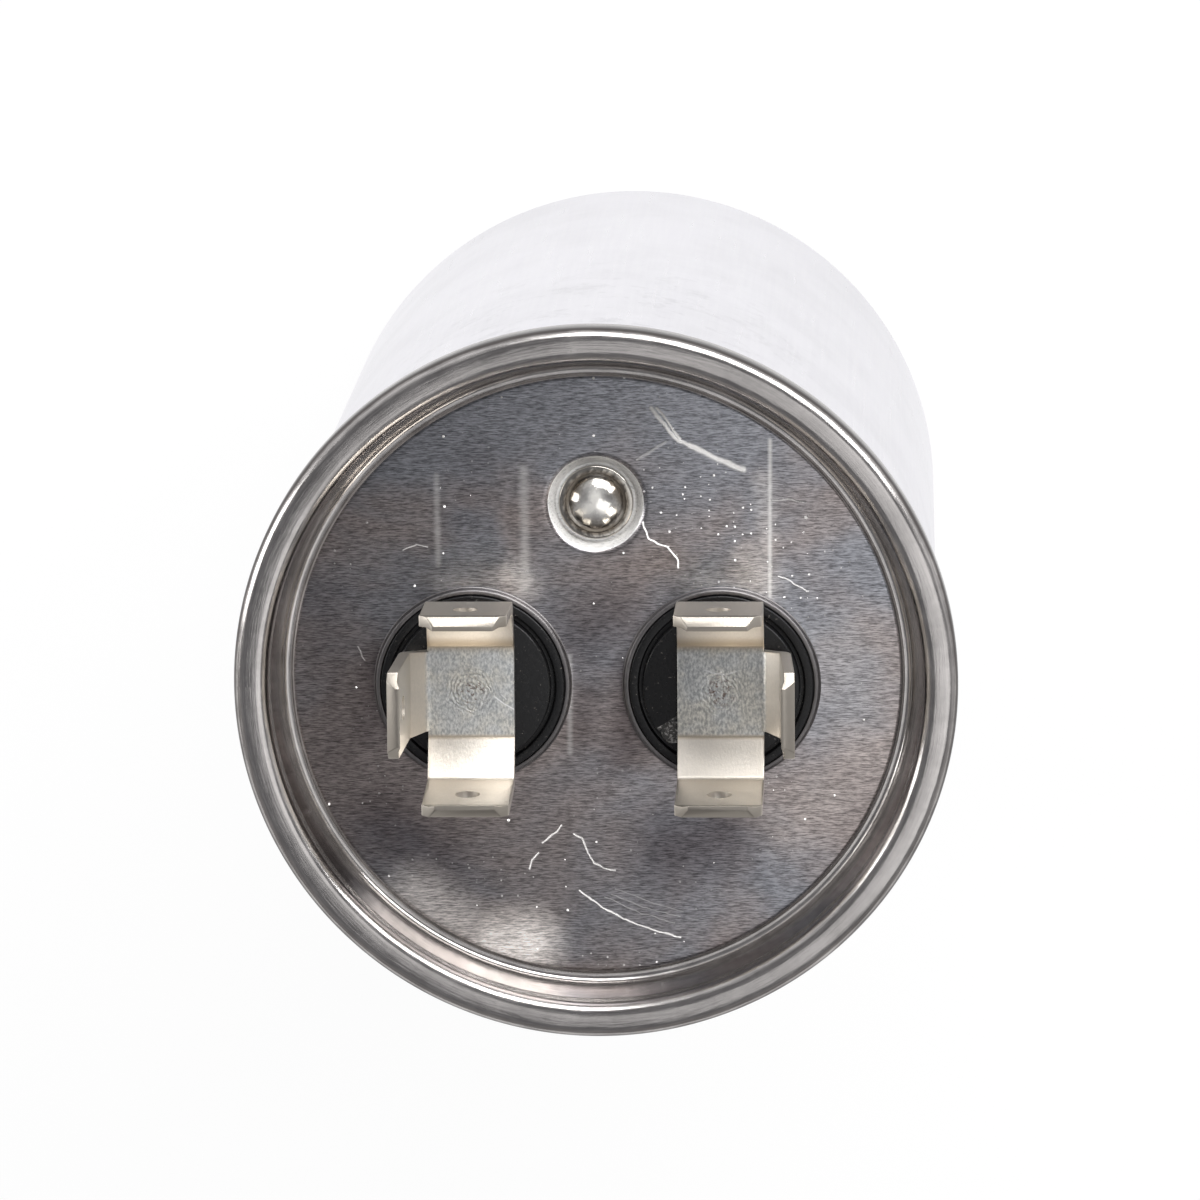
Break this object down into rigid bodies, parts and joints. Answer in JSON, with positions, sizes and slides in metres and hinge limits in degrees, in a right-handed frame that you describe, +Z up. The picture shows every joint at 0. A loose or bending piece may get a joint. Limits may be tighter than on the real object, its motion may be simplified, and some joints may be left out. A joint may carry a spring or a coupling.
{
  "type": "motor run capacitor",
  "caption": "Round sealed motor run capacitor in a drawn aluminium can, with a rolled seam, push-on blade terminals on black insulators and a filler plug.",
  "frame": {"origin": "centre of the can's flat base", "axes": "+Z up the can's axis towards the terminals, +X from the left terminal to the right one, +Y from the terminals towards the filler plug"},
  "size_m": [0.053, 0.053, 0.0898],
  "materials": {
    "can": "satin, drawn",
    "lid": "rolled, satin, scratched",
    "terminal": "bright tin plate",
    "stud": "tin plate",
    "plug": "polished nickel plate",
    "insulator": "moulded, semi-matt",
    "gasket": "matt",
    "compound": "matt",
    "fitting": "moulded, matt",
    "film": "wound film",
    "core": "matt",
    "wrap": "wound film",
    "spray": "sprayed zinc, rough",
    "lead": "tinned",
    "sleeve": "soft tube"
  },
  "bodies": {
    "root": {"can": "can", "lid": "lid", "seam_compound": "compound", "terminal_left": "terminal", "terminal_right": "terminal", "stud_left": "stud", "stud_right": "stud", "insulator_left": "insulator", "insulator_right": "insulator", "gasket_left": "gasket", "gasket_right": "gasket", "stud_washer_left": "stud", "stud_washer_right": "stud", "filler_plug": "plug", "interrupter_disc": "fitting", "top_spacer": "fitting", "bottom_cup": "fitting", "film_winding": "film", "core_tube": "core", "winding_wrap": "wrap", "top_end_spray": "spray", "bottom_end_spray": "spray", "lead_left": "lead", "lead_right": "lead", "lead_sleeve": "sleeve"}
  },
  "joints": []
}
